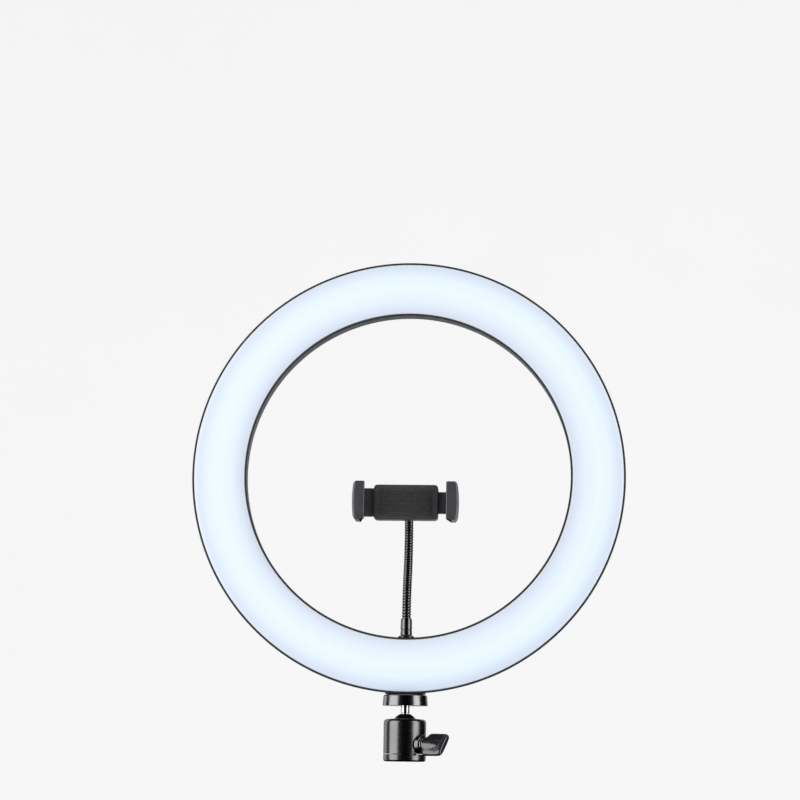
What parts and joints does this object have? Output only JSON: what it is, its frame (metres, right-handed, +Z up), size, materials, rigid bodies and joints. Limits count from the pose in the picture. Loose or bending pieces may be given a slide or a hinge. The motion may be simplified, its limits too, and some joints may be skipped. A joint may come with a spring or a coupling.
{
  "type": "ring light",
  "caption": "Round LED ring light on a small ball head with a wing lock knob, and a spring phone clamp on a short gooseneck inside the ring.",
  "frame": {"origin": "centre of the ball head's bottom face, on the axis of its stand thread", "axes": "+Z up along the thread towards the ring, -Y the way the light shines, +X to the right of someone facing the light's front"},
  "size_m": [0.3296, 0.072, 0.3793],
  "materials": {
    "black_plastic": "fine satin grain",
    "gloss_black": "gloss",
    "black_metal": "black anodised, semi-gloss",
    "milky_acrylic": "milky, lit from behind",
    "steel": "bright",
    "brass": "turned",
    "rubber": "matt",
    "nylon": "satin",
    "board_white": "satin",
    "wire_red": "gloss",
    "wire_black": "gloss"
  },
  "bodies": {
    "head": {"base_cap": "black_metal", "stand_thread_insert": "steel", "head_housing": "black_metal", "ball_collar": "nylon", "lift_plug": "steel"},
    "knob": {"lock_screw": "steel", "lock_washer": "steel", "lock_knob": "black_plastic"},
    "seat": {"ball_seat": "nylon"},
    "tilter": {"ball": "black_metal", "stem": "steel", "top_disc": "gloss_black", "disc_pad": "rubber"},
    "ring": {"ring_frame": "black_plastic", "rear_cover": "black_plastic", "diffuser": "milky_acrylic", "cover_screw_1": "steel", "cover_screw_2": "steel", "cover_screw_3": "steel", "cover_screw_4": "steel", "cover_screw_5": "steel", "cover_screw_6": "steel", "led_board_1": "board_white", "led_board_2": "board_white", "led_board_3": "board_white", "led_board_4": "board_white", "foot_nut": "brass", "neck_nut": "brass", "power_inlet": "gloss_black", "lead_red": "wire_red", "lead_black": "wire_black", "neck_flange": "black_metal", "lower_ferrule": "black_metal", "neck_segment_1": "black_metal"},
    "neck_link_2": {"neck_segment_2": "black_metal"},
    "neck_link_3": {"neck_segment_3": "black_metal"},
    "neck_link_4": {"neck_segment_4": "black_metal"},
    "neck_link_5": {"neck_segment_5": "black_metal"},
    "neck_link_6": {"neck_segment_6": "black_metal"},
    "neck_link_7": {"neck_segment_7": "black_metal"},
    "neck_tip": {"neck_segment_8": "black_metal", "upper_ferrule": "black_metal", "clamp_ball": "steel"},
    "collar": {"collar_nut": "black_plastic"},
    "clamp": {"clamp_cover": "black_plastic", "clamp_frame": "black_plastic", "guide_rod_1": "steel", "guide_rod_2": "steel", "jaw_spring": "steel", "fixed_jaw_pad": "rubber", "back_pad": "rubber", "clamp_screw_1": "steel", "clamp_screw_2": "steel", "clamp_screw_3": "steel", "clamp_screw_4": "steel"},
    "jaw": {"sliding_jaw": "black_plastic", "sliding_jaw_pad": "rubber"}
  },
  "joints": [
    {"name": "lock_knob_turn", "type": "hinge", "parent": "head", "child": "knob", "pos_m": [0.01434, -0.0112, 0.0126], "axis": [0.788, -0.6157, 0], "range_deg": [0, 180]},
    {"name": "head_pan", "type": "hinge", "parent": "head", "child": "seat", "pos_m": [0, 0, 0.0254], "axis": [0, 0, 1], "range_deg": [-180, 180]},
    {"name": "head_tilt", "type": "hinge", "parent": "seat", "child": "tilter", "pos_m": [0, 0, 0.0254], "axis": [1, 0, 0], "range_deg": [-35, 35]},
    {"name": "ring_swivel", "type": "hinge", "parent": "tilter", "child": "ring", "pos_m": [0, 0, 0.0495], "axis": [0, 0, 1], "range_deg": [-180, 180]},
    {"name": "neck_bend_1", "type": "hinge", "parent": "ring", "child": "neck_link_2", "pos_m": [0, 0.0014, 0.11814], "axis": [1, 0, 0], "range_deg": [-12, 12]},
    {"name": "neck_side_2", "type": "hinge", "parent": "neck_link_2", "child": "neck_link_3", "pos_m": [0, 0.00551, 0.12984], "axis": [0, -0.9001, 0.4356], "range_deg": [-14, 14]},
    {"name": "neck_bend_3", "type": "hinge", "parent": "neck_link_3", "child": "neck_link_4", "pos_m": [0, 0.0121, 0.14037], "axis": [1, 0, 0], "range_deg": [-12, 12]},
    {"name": "neck_side_4", "type": "hinge", "parent": "neck_link_4", "child": "neck_link_5", "pos_m": [0, 0.01807, 0.15125], "axis": [0, -0.9252, 0.3795], "range_deg": [-14, 14]},
    {"name": "neck_bend_5", "type": "hinge", "parent": "neck_link_5", "child": "neck_link_6", "pos_m": [0, 0.02146, 0.1632], "axis": [1, 0, 0], "range_deg": [-12, 12]},
    {"name": "neck_side_6", "type": "hinge", "parent": "neck_link_6", "child": "neck_link_7", "pos_m": [0, 0.02188, 0.17558], "axis": [0, -0.9823, -0.1875], "range_deg": [-14, 14]},
    {"name": "neck_bend_7", "type": "hinge", "parent": "neck_link_7", "child": "neck_tip", "pos_m": [0, 0.01567, 0.18607], "axis": [1, 0, 0], "range_deg": [-12, 12]},
    {"name": "clamp_tilt", "type": "hinge", "parent": "neck_tip", "child": "collar", "pos_m": [0, -0.0163, 0.1902], "axis": [1, 0, 0], "range_deg": [-20, 20]},
    {"name": "clamp_turn", "type": "hinge", "parent": "collar", "child": "clamp", "pos_m": [0, -0.0163, 0.1902], "axis": [0, 1, 0], "range_deg": [-180, 180]},
    {"name": "jaw_slide", "type": "slide", "parent": "clamp", "child": "jaw", "axis": [1, 0, 0], "range_m": [0, 0.02], "stiffness_N_per_m": 120, "springref_m": -0.03, "deforming": ["jaw_spring"]}
  ],
  "couplings": [
    {"joint": "neck_bend_3", "follows": "neck_bend_1", "ratio": 1},
    {"joint": "neck_bend_5", "follows": "neck_bend_1", "ratio": 1},
    {"joint": "neck_bend_7", "follows": "neck_bend_1", "ratio": 1},
    {"joint": "neck_side_4", "follows": "neck_side_2", "ratio": 1},
    {"joint": "neck_side_6", "follows": "neck_side_2", "ratio": 1}
  ]
}
